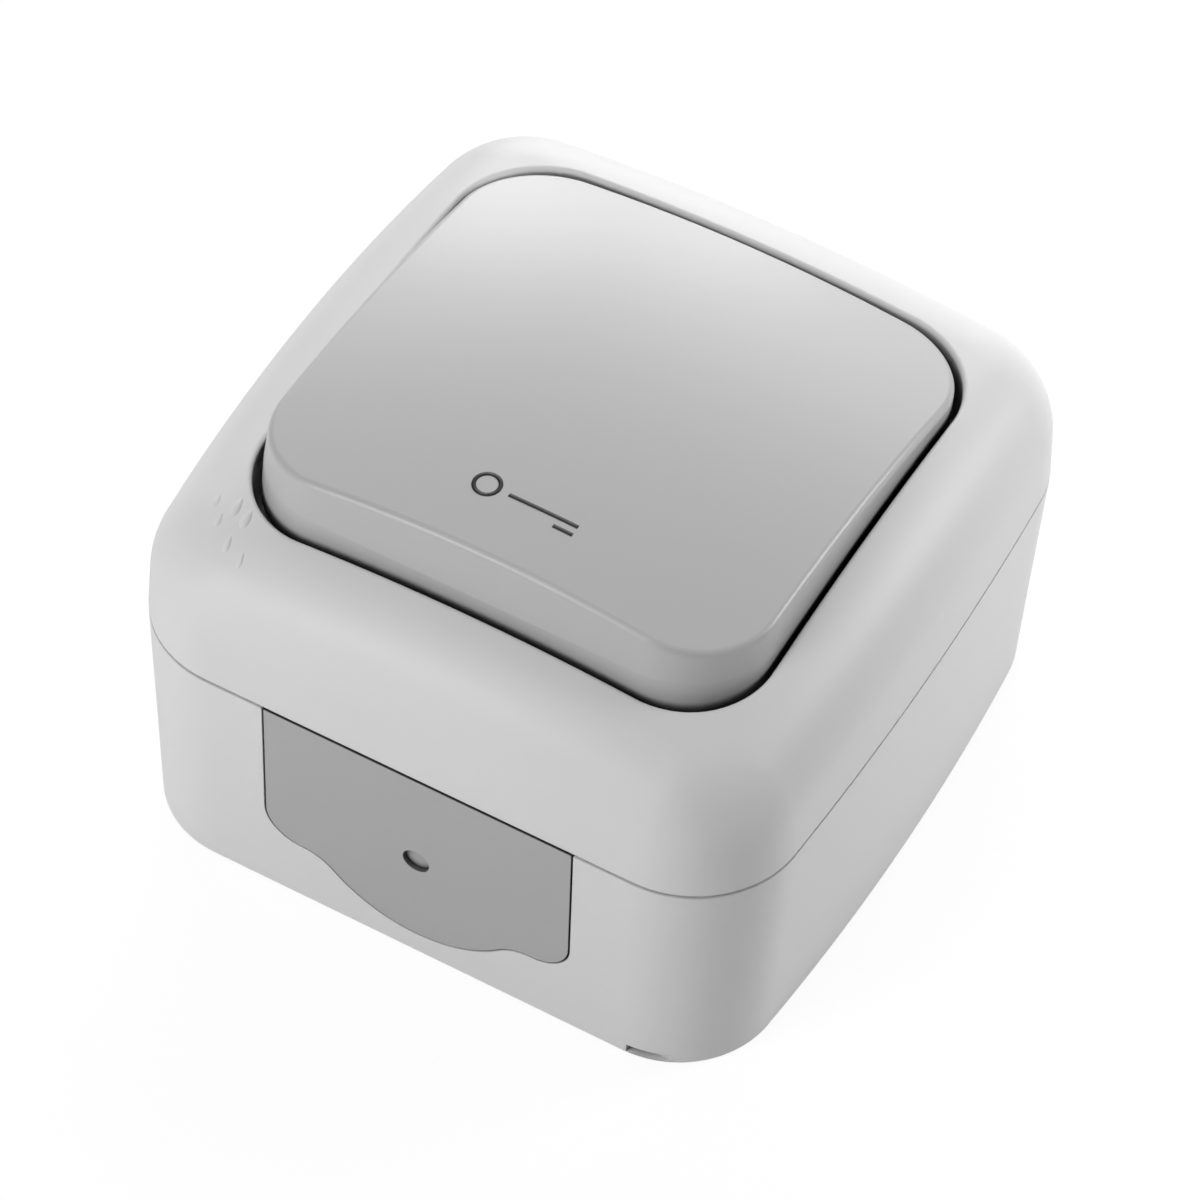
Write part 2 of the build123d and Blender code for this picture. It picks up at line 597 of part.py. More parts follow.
# Mechanism block: contact chamber, shelf for the strips, spring well and screw passages
block_mid_y = (BLOCK_LOW_Y + BLOCK_HIGH_Y) / 2
block_y = BLOCK_HIGH_Y - BLOCK_LOW_Y
chamber_low_y = BLOCK_LOW_Y + CHAMBER_WALL
with BuildPart() as block:
    with BuildSketch(Plane.XY.offset(BLOCK_BOTTOM)):
        with Locations((0, block_mid_y)):
            Rectangle(BLOCK_X, block_y)
    extrude(amount=LID_Z - BLOCK_BOTTOM)
    with BuildSketch(Plane.XY.offset(SHELF_Z)):
        with Locations((0, (chamber_low_y + CHAMBER_HIGH_Y) / 2)):
            Rectangle(BLOCK_X - 2 * CHAMBER_WALL, CHAMBER_HIGH_Y - chamber_low_y)
    extrude(amount=LID_Z - SHELF_Z, mode=Mode.SUBTRACT)
    with BuildSketch(Plane.XY.offset(SPRING_WELL_Z)):
        with Locations((0, PLUNGER_Y)):
            Rectangle(2 * SPRING_WELL_HALF, 2 * SPRING_WELL_HALF)
    extrude(amount=SHELF_Z - SPRING_WELL_Z, mode=Mode.SUBTRACT)
    with BuildSketch(Plane.XY.offset(TERMINAL_SCREW_END - TERMINAL_SCREW_TIP_GAP)):
        with Locations((-TERMINAL_X, TERMINAL_Y), (TERMINAL_X, TERMINAL_Y)):
            Circle(TERMINAL_SCREW_ROOM)
    extrude(amount=SHELF_Z - TERMINAL_SCREW_END + TERMINAL_SCREW_TIP_GAP, mode=Mode.SUBTRACT)
    with BuildSketch(Plane.XZ.offset(-chamber_low_y)):
        for at_x in (-TERMINAL_X, TERMINAL_X):
            with Locations((at_x, (STRIP_TOP + WIRE_ENTRY_TOP) / 2)):
                Rectangle(WIRE_ENTRY_X, WIRE_ENTRY_TOP - STRIP_TOP)
    extrude(amount=CHAMBER_WALL, mode=Mode.SUBTRACT)
    with BuildSketch(Plane.XY.offset(BLOCK_BOTTOM)):
        with Locations((-MECH_SCREW_X, MECH_SCREW_Y), (MECH_SCREW_X, MECH_SCREW_Y)):
            Circle(SCREW_PASSAGE)
    extrude(amount=LID_Z - BLOCK_BOTTOM, mode=Mode.SUBTRACT)
    core_low = CHAMBER_HIGH_Y + CHAMBER_WALL
    core_high = BLOCK_HIGH_Y - CHAMBER_WALL
    with BuildSketch(Plane.XY.offset(BLOCK_BOTTOM)):
        with Locations((0, (core_low + core_high) / 2)):
            Rectangle(CORE_X, core_high - core_low)
    extrude(amount=CORE_TOP - BLOCK_BOTTOM, mode=Mode.SUBTRACT)
block.part.label = "mechanism_block"
export_step(block.part, "parts/mechanism_block.step")

# Lid of the block with the two ears
with BuildPart() as lid:
    with BuildSketch(Plane.XY.offset(LID_Z)):
        with Locations((0, block_mid_y)):
            Rectangle(BLOCK_X, block_y)
    extrude(amount=LID_TOP - LID_Z)
    for side in (-1, 1):
        near = side * (TOGGLE_X / 2 + EAR_GAP)
        with BuildSketch(Plane.YZ.offset(near)):
            with Locations((0, (LID_TOP + PIVOT_Z) / 2)):
                Rectangle(2 * EAR_HALF_Y, PIVOT_Z - LID_TOP)
            with Locations((0, PIVOT_Z)):
                Circle(EAR_TOP_RADIUS)
        extrude(amount=side * EAR_THICK)
        with BuildSketch(Plane.YZ.offset(near)):
            with Locations((0, PIVOT_Z)):
                Circle(PIN_RADIUS + PIN_FIT)
        extrude(amount=side * EAR_THICK, mode=Mode.SUBTRACT)
    with BuildSketch(Plane.XY.offset(LID_Z)):
        with Locations((0, PLUNGER_Y)):
            Circle(PLUNGER_RADIUS + PLUNGER_GUIDE_FIT)
        with Locations((-TERMINAL_X, TERMINAL_Y), (TERMINAL_X, TERMINAL_Y)):
            Circle(LID_ACCESS_RADIUS)
        with Locations((-MECH_SCREW_X, MECH_SCREW_Y), (MECH_SCREW_X, MECH_SCREW_Y)):
            Circle(SCREW_PASSAGE)
    extrude(amount=LID_TOP - LID_Z, mode=Mode.SUBTRACT)
lid.part.label = "mechanism_lid"
export_step(lid.part, "parts/mechanism_lid.step")

# Plunger: pusher, flange, stem for bridge and spring, pin inside the return spring
with BuildPart() as plunger:
    for low, high, radius in (
        (PLUNGER_PIN_END, RETAINER_Z, PLUNGER_PIN),
        (RETAINER_Z, FLANGE_UNDER, PLUNGER_STEM),
        (FLANGE_UNDER, PLUNGER_FLANGE_TOP, PLUNGER_FLANGE),
        (PLUNGER_FLANGE_TOP, PLUNGER_TOP, PLUNGER_RADIUS),
    ):
        with BuildSketch(Plane.XY.offset(low)):
            with Locations((0, PLUNGER_Y)):
                Circle(radius)
        extrude(amount=high - low)
plunger.part.label = "plunger"
export_step(plunger.part, "parts/plunger.step")

# Contact bridge with its two tips underneath
with BuildPart() as contact_bridge:
    with BuildSketch(Plane.XY.offset(BRIDGE_Z)):
        with Locations((0, PLUNGER_Y)):
            SlotOverall(BRIDGE_LENGTH, BRIDGE_WIDTH)
            Circle(PLUNGER_STEM + BRIDGE_EYE)
            Circle(PLUNGER_STEM + STEM_FIT, mode=Mode.SUBTRACT)
    extrude(amount=BRIDGE_THICK)
contact_bridge.part.label = "contact_bridge"
export_step(contact_bridge.part, "parts/contact_bridge.step")

with BuildPart() as bridge_tips:
    with BuildSketch(Plane.XY.offset(BRIDGE_Z - TIP_HEIGHT)):
        with Locations((-TIP_X, PLUNGER_Y), (TIP_X, PLUNGER_Y)):
            Circle(TIP_RADIUS)
    extrude(amount=TIP_HEIGHT)
bridge_tips.part.label = "bridge_tips"
export_step(bridge_tips.part, "parts/bridge_tips.step")

# Retainer ring under the bridge, seat of the return spring
with BuildPart() as retainer:
    with BuildSketch(Plane.XY.offset(RETAINER_Z)):
        with Locations((0, PLUNGER_Y)):
            Circle(RETAINER_RADIUS)
            Circle(PLUNGER_STEM + STEM_FIT, mode=Mode.SUBTRACT)
    extrude(amount=RETAINER_THICK)
retainer.part.label = "spring_retainer"
export_step(retainer.part, "parts/spring_retainer.step")

return_spring = coil(RETURN_COIL, RETURN_WIRE, RETURN_TURNS, SPRING_WELL_Z, RETAINER_Z)
return_spring.label = "return_spring"
export_step(return_spring, "parts/return_spring.step")

contact_spring = coil(CONTACT_COIL, CONTACT_WIRE, CONTACT_TURNS, BRIDGE_TOP, FLANGE_UNDER)
contact_spring.label = "contact_spring"
export_step(contact_spring, "parts/contact_spring.step")


def terminal(side):
    """Contact strip: an inner arm below the bridge and a pad for the terminal screw."""
    arm = BRIDGE_WIDTH / 2
    with BuildPart() as strip:
        with BuildSketch(Plane.XY.offset(SHELF_Z)):
            with BuildLine():
                Polyline(
                    (side * STRIP_IN_X, PLUNGER_Y + arm),
                    (side * STRIP_IN_X, PLUNGER_Y - arm),
                    (side * STRIP_STEP_X, PLUNGER_Y - arm),
                    (side * STRIP_STEP_X, STRIP_END_Y),
                    (side * STRIP_OUT_X, STRIP_END_Y),
                    (side * STRIP_OUT_X, PLUNGER_Y + arm),
                    close=True,
                )
            make_face()
            with Locations((side * TERMINAL_X, TERMINAL_Y)):
                Circle(SCREW_RADIUS + SCREW_FIT, mode=Mode.SUBTRACT)
        extrude(amount=STRIP_THICK)
    return strip.part


terminal_left = terminal(-1)
terminal_left.label = "terminal_left"
export_step(terminal_left, "parts/terminal_left.step")

terminal_right = terminal(1)
terminal_right.label = "terminal_right"
export_step(terminal_right, "parts/terminal_right.step")

with BuildPart() as fixed_tips:
    with BuildSketch(Plane.XY.offset(STRIP_TOP)):
        with Locations((-TIP_X, PLUNGER_Y), (TIP_X, PLUNGER_Y)):
            Circle(TIP_RADIUS)
    extrude(amount=TIP_HEIGHT)
fixed_tips.part.label = "fixed_tips"
export_step(fixed_tips.part, "parts/fixed_tips.step")

# Wire clamps under the heads of the terminal screws
with BuildPart() as wire_clamps:
    with BuildSketch(Plane.XY.offset(CLAMP_Z)):
        with Locations((-TERMINAL_X, TERMINAL_Y), (TERMINAL_X, TERMINAL_Y)):
            Rectangle(CLAMP_X, CLAMP_Y)
            Circle(SCREW_PASSAGE, mode=Mode.SUBTRACT)
    extrude(amount=CLAMP_THICK)
wire_clamps.part.label = "wire_clamps"
export_step(wire_clamps.part, "parts/wire_clamps.step")

# Screws, each kind as one group
with BuildPart() as terminal_screws:
    for at_x in (-TERMINAL_X, TERMINAL_X):
        add(pan_screw(at_x, TERMINAL_Y, CLAMP_Z + CLAMP_THICK, TERMINAL_SCREW_END))
terminal_screws.part.label = "terminal_screws"
export_step(terminal_screws.part, "parts/terminal_screws.step")

with BuildPart() as mechanism_screws:
    for at_x in (-MECH_SCREW_X, MECH_SCREW_X):
        add(pan_screw(at_x, MECH_SCREW_Y, LID_TOP, MECH_SCREW_END))
mechanism_screws.part.label = "mechanism_screws"
export_step(mechanism_screws.part, "parts/mechanism_screws.step")

with BuildPart() as cover_screws:
    for side in (-1, 1):
        add(pan_screw(side * COVER_SCREW_X, side * COVER_SCREW_Y, COVER_SEAT_Z, COVER_SCREW_END))
cover_screws.part.label = "cover_screws"
export_step(cover_screws.part, "parts/cover_screws.step")
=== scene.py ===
# %% [markdown]
# # A splash-proof surface switch
# The solids of the switch come ready made from the imported model. This lesson dresses them:
# it sets the camera, gives every plastic and metal its finish, prints the key sign on the
# rocker, raises the small splash sign on the frame, stands a coil in place of the return spring
# and lights the set like a product photo.

# %% Load the imported model
import json
import math

import bpy
from mathutils import Euler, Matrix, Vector


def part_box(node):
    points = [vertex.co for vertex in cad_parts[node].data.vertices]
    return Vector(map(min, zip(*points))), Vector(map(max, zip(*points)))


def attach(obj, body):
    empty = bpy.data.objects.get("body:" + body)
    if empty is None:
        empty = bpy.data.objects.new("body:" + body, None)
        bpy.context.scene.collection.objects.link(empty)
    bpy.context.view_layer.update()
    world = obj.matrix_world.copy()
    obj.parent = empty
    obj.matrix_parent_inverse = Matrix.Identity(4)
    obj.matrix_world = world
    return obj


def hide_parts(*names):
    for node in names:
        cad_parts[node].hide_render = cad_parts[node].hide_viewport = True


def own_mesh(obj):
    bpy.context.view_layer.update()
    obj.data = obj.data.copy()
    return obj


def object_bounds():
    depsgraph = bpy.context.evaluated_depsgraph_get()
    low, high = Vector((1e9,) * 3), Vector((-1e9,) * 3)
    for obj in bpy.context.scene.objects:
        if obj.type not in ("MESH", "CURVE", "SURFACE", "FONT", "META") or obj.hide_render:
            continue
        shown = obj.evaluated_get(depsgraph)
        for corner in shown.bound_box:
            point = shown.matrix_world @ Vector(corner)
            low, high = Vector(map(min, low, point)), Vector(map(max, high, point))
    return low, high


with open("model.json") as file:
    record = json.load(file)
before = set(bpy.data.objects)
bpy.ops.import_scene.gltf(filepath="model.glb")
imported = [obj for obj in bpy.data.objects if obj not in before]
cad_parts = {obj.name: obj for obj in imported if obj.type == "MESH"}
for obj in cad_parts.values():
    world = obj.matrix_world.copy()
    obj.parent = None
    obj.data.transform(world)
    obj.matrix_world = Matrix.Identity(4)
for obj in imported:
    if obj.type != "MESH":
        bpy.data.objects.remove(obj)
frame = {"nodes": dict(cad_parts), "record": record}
MM = 0.001
cad_low, cad_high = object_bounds()
print("nodes", len(frame["nodes"]), "box", [round(v / MM, 2) for v in cad_high - cad_low])

# %% [markdown]
# ## Camera
# The switch lies on its back and is seen from above its lower right corner with a long lens.
# The place, the turn and the focal length were worked out from straight edges of the object,
# so the render can be laid over the photo without any further fitting.

# %% Camera
SENSOR_WIDTH = 36.0
FOCAL_LENGTH = 183.828
CAMERA_PLACE = (0.16211453, -0.31726952, 0.44900765)
CAMERA_TURN = (39.38793, -2.03636, 29.56221)
camera_data = bpy.data.cameras.new("studio_camera")
camera_data.sensor_width = SENSOR_WIDTH
camera_data.sensor_fit = "HORIZONTAL"
camera_data.lens = FOCAL_LENGTH
camera = bpy.data.objects.new("studio_camera", camera_data)
camera.location = CAMERA_PLACE
camera.rotation_euler = Euler([math.radians(angle) for angle in CAMERA_TURN], "XYZ")
bpy.context.scene.collection.objects.link(camera)
bpy.context.scene.camera = camera
print("camera", round(camera.location.length, 3), "m from the middle of the back")

# %% [markdown]
# ## Small helpers for node trees
# Shader and geometry trees are both lists of nodes and links. Three helpers keep every later
# cell short: one adds a node and fills its sockets, one opens a new node group and one adds a
# step of arithmetic.

# %% Helpers


def put(tree, kind, settings=None, **sockets):
    """Add a node, set its options and fill or link its inputs, by name or by place as i0, i1."""
    node = tree.nodes.new(kind)
    for key, value in (settings or {}).items():
        setattr(node, key, value)
    for key, value in sockets.items():
        by_place = key[0] == "i" and key[1:].isdigit()
        socket = node.inputs[int(key[1:]) if by_place else key]
        if isinstance(value, bpy.types.NodeSocket):
            tree.links.new(value, socket)
        else:
            socket.default_value = value
    return node


def new_group(name, kind, inputs, outputs):
    """Open a node group whose inputs and outputs are given as (name, type, default)."""
    tree = bpy.data.node_groups.new(name, kind)
    for label, socket_type, default in inputs:
        socket = tree.interface.new_socket(label, in_out="INPUT", socket_type=socket_type)
        if default is not None:
            socket.default_value = default
    for label, socket_type in outputs:
        tree.interface.new_socket(label, in_out="OUTPUT", socket_type=socket_type)
    return tree, tree.nodes.new("NodeGroupInput").outputs, tree.nodes.new("NodeGroupOutput").inputs


def math_node(tree, operation, first, second=0.0):
    """One step of arithmetic."""
    return put(tree, "ShaderNodeMath", {"operation": operation}, i0=first, i1=second).outputs[0]


# %% [markdown]
# ## Moulded skin and painted shade
# A moulded shell is never one flat value. The steel mould leaves an even, very fine grain,
# and the melt leaves faint clouds where it flowed. One shader group gives both: a height for
# a Bump node, a roughness and a tint that wander a little. Around the rocker runs a deep,
# narrow gap that swallows nearly all light; there and in other narrow gaps and hollows the
# group also paints shade into the tint, darker where a point sees less of its surroundings.
# Every plastic here uses the group with its own numbers, so it is built once.

# %% Moulded skin group with painted shade
FLOAT, COLOR, VECTOR = "NodeSocketFloat", "NodeSocketColor", "NodeSocketVector"
skin, skin_in, skin_out = new_group(
    "moulded_skin_with_painted_shade",
    "ShaderNodeTree",
    [
        ("Colour", COLOR, (0.8, 0.8, 0.8, 1.0)),
        ("Clouding", FLOAT, 0.02),
        ("Roughness", FLOAT, 0.45),
        ("Roughness Spread", FLOAT, 0.02),
        ("Grains per Metre", FLOAT, 2600.0),
        ("Painted Shade Reach", FLOAT, 0.004),
        ("Painted Shade Black At", FLOAT, 0.06),
        ("Painted Shade Clear At", FLOAT, 0.30),
    ],
    [("Colour", COLOR), ("Roughness", FLOAT), ("Height", FLOAT)],
)
CLOUDS_PER_METRE = 90.0
NOISE_MIDDLE = 0.5
PAINTED_SHADE_SAMPLES = 8
place = put(skin, "ShaderNodeTexCoord").outputs["Object"]
grain = put(
    skin, "ShaderNodeTexNoise", Vector=place, Scale=skin_in["Grains per Metre"], Detail=2.0
)
clouds = put(skin, "ShaderNodeTexNoise", Vector=place, Scale=CLOUDS_PER_METRE, Detail=3.0)
swing = math_node(skin, "SUBTRACT", clouds.outputs[0], NOISE_MIDDLE)
clouds_and_painted_shade = math_node(skin, "ADD", math_node(skin, "MULTIPLY", swing, skin_in["Clouding"]), 1.0)
# Painted shade: ambient occlusion finds how much open view each point has, and the tint is
# darkened where it is small.
view = put(
    skin, "ShaderNodeAmbientOcclusion", {"samples": PAINTED_SHADE_SAMPLES}, Distance=skin_in["Painted Shade Reach"]
)
painted_shade_factor = put(
    skin,
    "ShaderNodeMapRange",
    {"interpolation_type": "SMOOTHSTEP"},
    Value=view.outputs["AO"],
    **{"From Min": skin_in["Painted Shade Black At"], "From Max": skin_in["Painted Shade Clear At"]},
)
clouds_and_painted_shade = math_node(skin, "MULTIPLY", clouds_and_painted_shade, painted_shade_factor.outputs[0])
tint_with_clouds_and_painted_shade = put(
    skin, "ShaderNodeVectorMath", {"operation": "SCALE"}, i0=skin_in["Colour"], Scale=clouds_and_painted_shade
)
rubbed = math_node(skin, "MULTIPLY", swing, skin_in["Roughness Spread"])
skin.links.new(tint_with_clouds_and_painted_shade.outputs[0], skin_out["Colour"])
skin.links.new(math_node(skin, "ADD", skin_in["Roughness"], rubbed), skin_out["Roughness"])
skin.links.new(grain.outputs[0], skin_out["Height"])
print("group", skin.name, "with", len(skin.nodes), "nodes")

# %% [markdown]
# ## Drawn metal
# Wire, strip and screws were pulled or rolled through tools, which leaves lines along one
# direction. A noise that is stretched along that direction gives the same lines as a height
# and as a change of roughness.

# %% Drawn metal group
drawn, drawn_in, drawn_out = new_group(
    "drawn_metal",
    "ShaderNodeTree",
    [("Roughness", FLOAT, 0.3), ("Line Scale", VECTOR, (300.0, 9000.0, 9000.0))],
    [("Roughness", FLOAT), ("Height", FLOAT)],
)
LINE_CONTRAST = 0.25
place = put(drawn, "ShaderNodeTexCoord").outputs["Object"]
along = put(
    drawn, "ShaderNodeVectorMath", {"operation": "MULTIPLY"}, i0=place, i1=drawn_in["Line Scale"]
)
lines = put(drawn, "ShaderNodeTexNoise", Vector=along.outputs[0], Scale=1.0, Detail=3.0)
swing = math_node(drawn, "SUBTRACT", lines.outputs[0], NOISE_MIDDLE)
wander = math_node(drawn, "MULTIPLY", swing, LINE_CONTRAST)
drawn.links.new(math_node(drawn, "ADD", drawn_in["Roughness"], wander), drawn_out["Roughness"])
drawn.links.new(lines.outputs[0], drawn_out["Height"])
print("group", drawn.name, "with", len(drawn.nodes), "nodes")

# %% [markdown]
# ## The plastics
# Box and frame are the same satin grey, the rocker is a shade darker with a smoother face, and
# the cable plate is darker and duller still. Each gets painted shade towards its narrow gaps and
# hollows, between two limits of its own: the share of open view at which the painted shade turns
# it black and the one above which it is not shaded. The Bevel node rounds the sharp edges of the
# solids by a hair, as the mould does, so that the parting line catches a little light. Grain depth
# and edge are in millimetres.

# %% Plastics
PLASTIC_IOR = 1.49
GRAIN_STRENGTH = 0.5
EDGE_SAMPLES = 4
materials = {}


def plastic(
    slot, grey, roughness, clouding, grains=2400.0, grain_depth=0.010, edge=0.1, painted_shade_limits=(0.06, 0.30)
):
    """A moulded plastic: skin group with its painted gap shade into a Principled shader, with
    softened edges.
    """
    material = bpy.data.materials.new(slot)
    material.use_nodes = True
    tree = material.node_tree
    shader = tree.nodes["Principled BSDF"]
    look = put(tree, "ShaderNodeGroup", {"node_tree": skin})
    look.inputs["Colour"].default_value = (*grey, 1.0)
    look.inputs["Clouding"].default_value = clouding
    look.inputs["Roughness"].default_value = roughness
    look.inputs["Grains per Metre"].default_value = grains
    # Painted shade: these two limits set where the ambient occlusion darkens the tint of this
    # plastic.
    look.inputs["Painted Shade Black At"].default_value, look.inputs["Painted Shade Clear At"].default_value = painted_shade_limits
    tree.links.new(look.outputs["Colour"], shader.inputs["Base Color"])
    tree.links.new(look.outputs["Roughness"], shader.inputs["Roughness"])
    soft = put(tree, "ShaderNodeBevel", {"samples": EDGE_SAMPLES}, Radius=edge * MM)
    bump = put(
        tree,
        "ShaderNodeBump",
        Strength=GRAIN_STRENGTH,
        Distance=grain_depth * MM,
        Height=look.outputs["Height"],
        Normal=soft.outputs[0],
    )
    tree.links.new(bump.outputs[0], shader.inputs["Normal"])
    shader.inputs["IOR"].default_value = PLASTIC_IOR
    materials[slot] = material


# The pairs given below set the painted shade of each plastic in its narrow gaps and hollows; the
# other plastics keep the group's default limits.
plastic(
    "housing_plastic",
    (0.80, 0.80, 0.80),
    roughness=0.46,
    clouding=0.03,
    grains=2600.0,
    edge=0.15,
    painted_shade_limits=(0.04, 0.24),
)
plastic(
    "rocker_plastic",
    (0.55, 0.55, 0.55),
    roughness=0.29,
    clouding=0.01,
    grains=2600.0,
    grain_depth=0.0006,
    edge=0.15,
    painted_shade_limits=(0.15, 0.48),
)
plastic(
    "plate_plastic",
    (0.47, 0.47, 0.47),
    roughness=0.55,
    clouding=0.04,
    grains=2200.0,
    grain_depth=0.016,
    edge=0.12,
    painted_shade_limits=(0.30, 0.80),
)
plastic("block_plastic", (0.62, 0.62, 0.58), roughness=0.5, clouding=0.04)
plastic("lid_plastic", (0.16, 0.16, 0.17), roughness=0.5, clouding=0.05)
plastic("toggle_plastic", (0.80, 0.80, 0.78), roughness=0.38, clouding=0.03, grain_depth=0.006)
plastic(
    "seal_rubber",
    (0.30, 0.30, 0.30),
    roughness=0.8,
    clouding=0.08,
    grains=4000.0,
    grain_depth=0.02,
)
moulded = set(materials)
print("plastics", sorted(moulded))

# %% [markdown]
# ## The metals
# Inside sit zinc-plated screws and pin, spring wire, brass strips and silver tips. They are
# only seen when the switch is taken apart, but they still get their own lines and colour.

# %% Metals
LINE_STRENGTH = 0.3
LINE_DEPTH = 0.004 * MM


def metal(slot, colour, roughness, line_scale):
    """A drawn metal: line group into roughness and bump."""
    material = bpy.data.materials.new(slot)
    material.use_nodes = True
    tree = material.node_tree
    shader = tree.nodes["Principled BSDF"]
    look = put(tree, "ShaderNodeGroup", {"node_tree": drawn})
    look.inputs["Roughness"].default_value = roughness
    look.inputs["Line Scale"].default_value = line_scale
    bump = put(
        tree,
        "ShaderNodeBump",
        Strength=LINE_STRENGTH,
        Distance=LINE_DEPTH,
        Height=look.outputs["Height"],
    )
    tree.links.new(look.outputs["Roughness"], shader.inputs["Roughness"])
    tree.links.new(bump.outputs[0], shader.inputs["Normal"])
    shader.inputs["Base Color"].default_value = (*colour, 1.0)
    shader.inputs["Metallic"].default_value = 1.0
    materials[slot] = material


metal("steel", (0.60, 0.60, 0.61), roughness=0.32, line_scale=(6000.0, 6000.0, 400.0))
metal("spring_steel", (0.52, 0.53, 0.55), roughness=0.28, line_scale=(5000.0, 5000.0, 5000.0))
metal("contact_brass", (0.72, 0.53, 0.24), roughness=0.30, line_scale=(300.0, 9000.0, 9000.0))
metal("tip_silver", (0.82, 0.82, 0.82), roughness=0.35, line_scale=(4000.0, 4000.0, 4000.0))
print("metals", sorted(set(materials) - moulded))

# %% [markdown]
# The record says which finish each solid takes.

# %% Dress the solids
for part in frame["record"]["subparts"]:
    node = frame["nodes"][part["node"]]
    node.data.materials.clear()
    node.data.materials.append(materials[part["material_slot"]])

# %% [markdown]
# ## The key sign
# The rocker of a door-release switch carries a small printed key: a ring, a stroke beside it
# and a short second stroke as the bit. Ink is a skin that follows the crowned face and stands
# about two hundredths of a millimetre above it. Geometry Nodes suit it, because each stroke is
# a flat profile along a path: the paths are laid flat, given their width, dropped onto the
# sphere of the crown and tilted with the rocker.

# %% Ink of the sign
ink = bpy.data.materials.new("sign_ink")
ink.use_nodes = True
ink_tree = ink.node_tree
ink_shader = ink_tree.nodes["Principled BSDF"]
ink_look = put(ink_tree, "ShaderNodeGroup", {"node_tree": skin})
# The ink keeps the group's painted gap shade at its default limits.
ink_look.inputs["Colour"].default_value = (0.012, 0.012, 0.013, 1.0)
ink_look.inputs["Clouding"].default_value = 0.3
ink_look.inputs["Roughness"].default_value = 0.5
ink_tree.links.new(ink_look.outputs["Colour"], ink_shader.inputs["Base Color"])
ink_tree.links.new(ink_look.outputs["Roughness"], ink_shader.inputs["Roughness"])
print("ink", ink.name)

# %% Tree of the key sign
GEOMETRY, MATERIAL, OBJECT = "NodeSocketGeometry", "NodeSocketMaterial", "NodeSocketObject"
key_tree, key_in, key_out = new_group(
    "key_sign",
    "GeometryNodeTree",
    [
        ("Geometry", GEOMETRY, None),
        ("Ring Middle", VECTOR, (0.0, 0.0, 0.0)),
        ("Ring Radius", FLOAT, 0.001),
        ("Stroke Start", VECTOR, (0.0, 0.0, 0.0)),
        ("Stroke End", VECTOR, (0.0, 0.0, 0.0)),
        ("Bit Start", VECTOR, (0.0, 0.0, 0.0)),
        ("Bit End", VECTOR, (0.0, 0.0, 0.0)),
        ("Line Width", FLOAT, 0.0004),
        ("Ink Thickness", FLOAT, 0.00002),
        ("Crown Radius", FLOAT, 0.15),
        ("Crown Height", FLOAT, 0.0071),
        ("Tilt", VECTOR, (0.0, 0.0, 0.0)),
        ("Pivot", VECTOR, (0.0, 0.0, 0.0)),
        ("Ink", MATERIAL, None),
    ],
    [("Geometry", GEOMETRY)],
)
ring = put(
    key_tree, "GeometryNodeCurvePrimitiveCircle", Resolution=96, Radius=key_in["Ring Radius"]
)
ring = put(
    key_tree,
    "GeometryNodeTransform",
    Geometry=ring.outputs["Curve"],
    Translation=key_in["Ring Middle"],
)
strokes = [
    put(key_tree, "GeometryNodeCurvePrimitiveLine", Start=key_in[start], End=key_in[end])
    for start, end in (("Stroke Start", "Stroke End"), ("Bit Start", "Bit End"))
]
paths = put(key_tree, "GeometryNodeJoinGeometry")
for path in (ring, *strokes):
    key_tree.links.new(path.outputs[0], paths.inputs[0])
even = put(
    key_tree,
    "GeometryNodeResampleCurve",
    {"mode": "LENGTH"},
    Curve=paths.outputs[0],
    Length=0.1 * MM,
)
upright = put(key_tree, "GeometryNodeSetCurveNormal", {"mode": "Z_UP"}, Curve=even.outputs[0])
section = put(
    key_tree,
    "GeometryNodeCurvePrimitiveQuadrilateral",
    Width=key_in["Line Width"],
    Height=key_in["Ink Thickness"],
)
band = put(
    key_tree,
    "GeometryNodeCurveToMesh",
    Curve=upright.outputs[0],
    **{"Profile Curve": section.outputs[0], "Fill Caps": True},
)

# %% Drop the sign onto the crown
spot = put(key_tree, "GeometryNodeInputPosition").outputs[0]
flat = put(
    key_tree, "ShaderNodeVectorMath", {"operation": "MULTIPLY"}, i0=spot, i1=(1.0, 1.0, 0.0)
).outputs[0]
reach = put(key_tree, "ShaderNodeVectorMath", {"operation": "DOT_PRODUCT"}, i0=flat, i1=flat)
square = math_node(key_tree, "MULTIPLY", key_in["Crown Radius"], key_in["Crown Radius"])
under = math_node(key_tree, "SUBTRACT", square, reach.outputs["Value"])
rise = math_node(key_tree, "SQRT", under)
dip = math_node(key_tree, "SUBTRACT", rise, key_in["Crown Radius"])
lift = put(
    key_tree, "ShaderNodeCombineXYZ", Z=math_node(key_tree, "ADD", dip, key_in["Crown Height"])
)
laid = put(key_tree, "GeometryNodeSetPosition", Geometry=band.outputs[0], Offset=lift.outputs[0])
tilted = put(
    key_tree,
    "GeometryNodeTransform",
    Geometry=laid.outputs[0],
    Translation=key_in["Pivot"],
    Rotation=key_in["Tilt"],
)
real = put(key_tree, "GeometryNodeRealizeInstances", Geometry=tilted.outputs[0])
inked = put(key_tree, "GeometryNodeSetMaterial", Geometry=real.outputs[0], Material=key_in["Ink"])
key_tree.links.new(inked.outputs[0], key_out["Geometry"])
print("tree", key_tree.name, "with", len(key_tree.nodes), "nodes")

# %% [markdown]
# A Geometry Nodes modifier only needs an empty mesh to sit on. Its inputs are set by their
# identifiers, the result is turned into a plain mesh and the modifier goes away, because a
# finished piece should be ordinary geometry.

# %% Make a plain piece out of a tree


